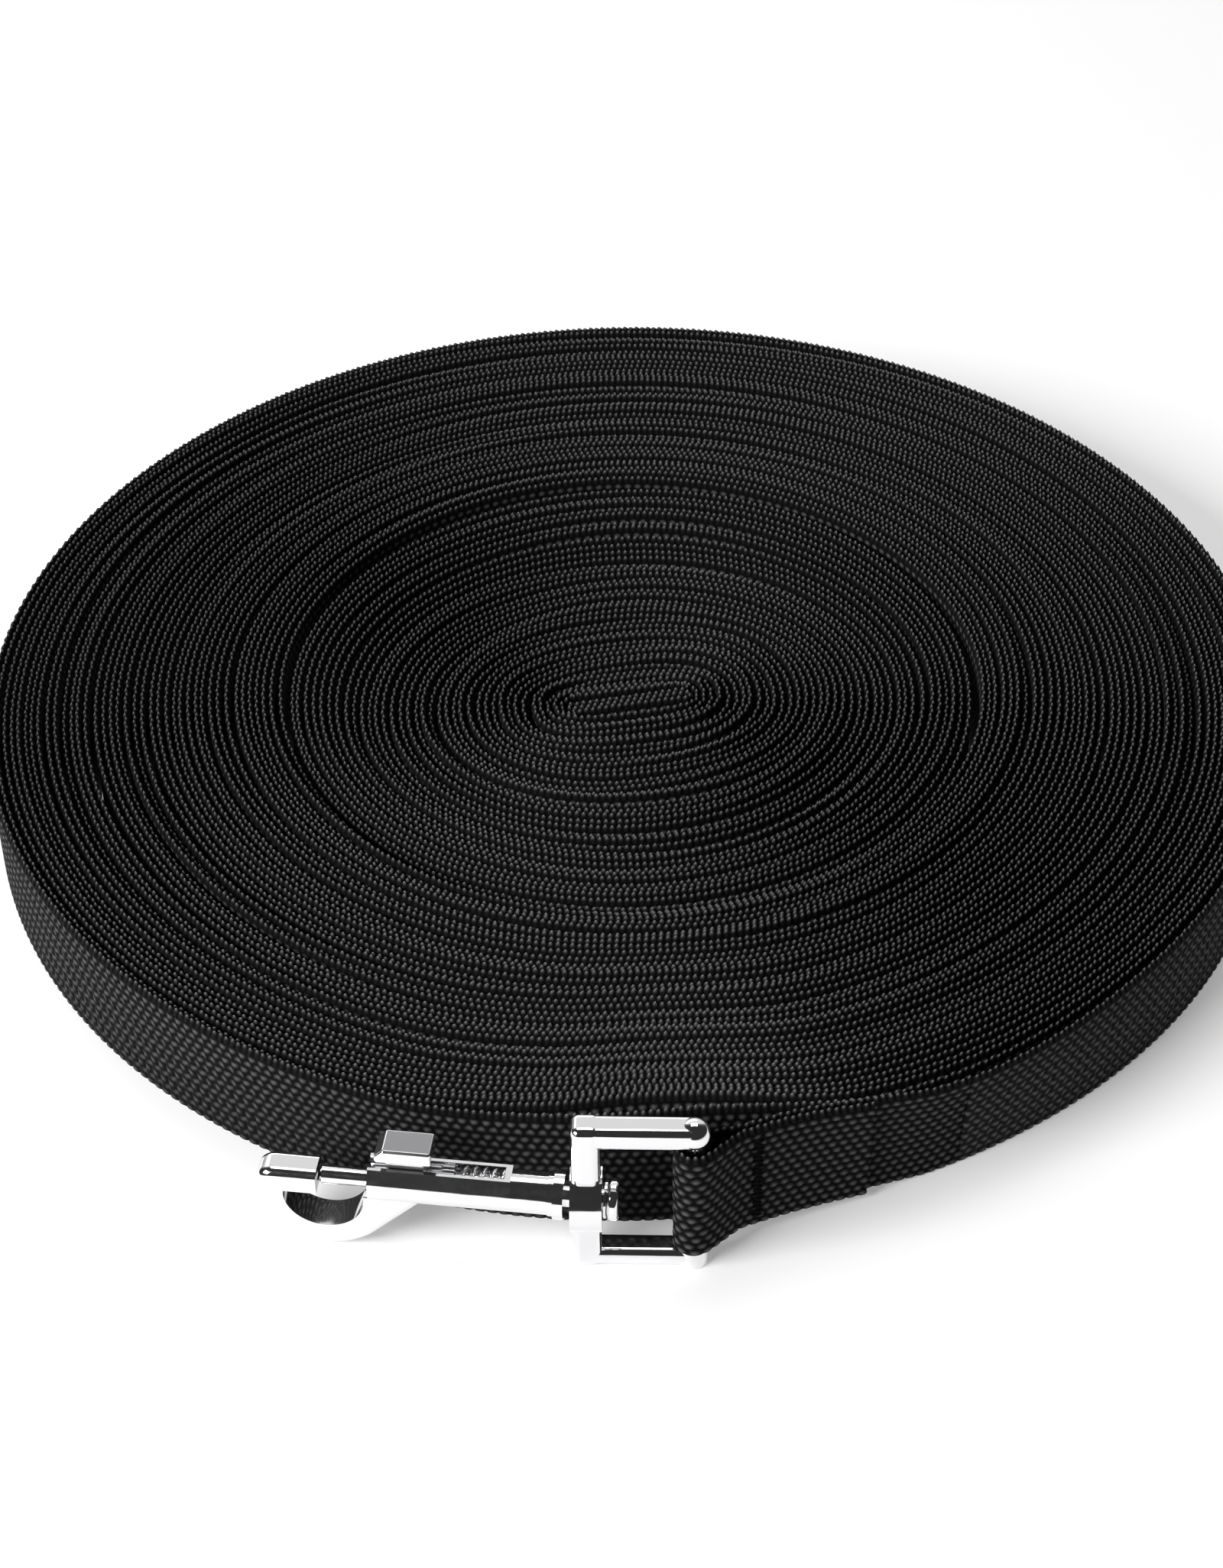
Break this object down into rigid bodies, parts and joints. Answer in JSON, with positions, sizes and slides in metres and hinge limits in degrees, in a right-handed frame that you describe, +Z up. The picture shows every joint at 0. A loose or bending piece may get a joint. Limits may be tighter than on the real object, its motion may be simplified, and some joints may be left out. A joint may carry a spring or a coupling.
{
  "type": "dog training lead",
  "caption": "Long flat webbing training lead wound on edge into a flat coil, its outer end sewn round the bar of a swivel eye that carries a sliding-bolt snap hook.",
  "frame": {"origin": "under the middle of the coil, on the surface it lies on", "axes": "+Z up out of the coil; the snap lies along the coil's -Y side with its hook towards -X"},
  "size_m": [0.2118, 0.2226, 0.0277],
  "materials": {
    "webbing": "black woven nylon webbing",
    "thread": "black sewing thread",
    "plated_metal": "bright nickel plate",
    "spring_steel": "drawn wire"
  },
  "bodies": {
    "webbing": {"webbing_coil": "webbing", "handle_loop": "webbing", "handle_stitching": "thread", "webbing_tail": "webbing", "eye_loop": "webbing", "loop_stitching": "thread"},
    "eye": {"eye_frame": "plated_metal"},
    "hook": {"hook_body": "plated_metal", "swivel_post": "plated_metal", "rivet_washer": "plated_metal", "bolt_spring": "spring_steel"},
    "bolt": {"sliding_bolt": "plated_metal", "thumb_tab": "plated_metal"}
  },
  "joints": [
    {"name": "eye_swing", "type": "hinge", "parent": "webbing", "child": "eye", "pos_m": [0.00874, -0.112, 0.0136], "axis": [0, 0, 1], "range_deg": [-1, 150]},
    {"name": "hook_swivel", "type": "hinge", "parent": "eye", "child": "hook", "pos_m": [-0.00626, -0.11161, 0.0124], "axis": [0.9921, -0.1253, 0], "range_deg": [-25, 25]},
    {"name": "bolt_slide", "type": "slide", "parent": "hook", "child": "bolt", "axis": [0.9921, -0.1253, 0], "range_m": [0, 0.0071], "stiffness_N_per_m": 500, "springref_m": -0.005, "deforming": ["bolt_spring"]}
  ]
}
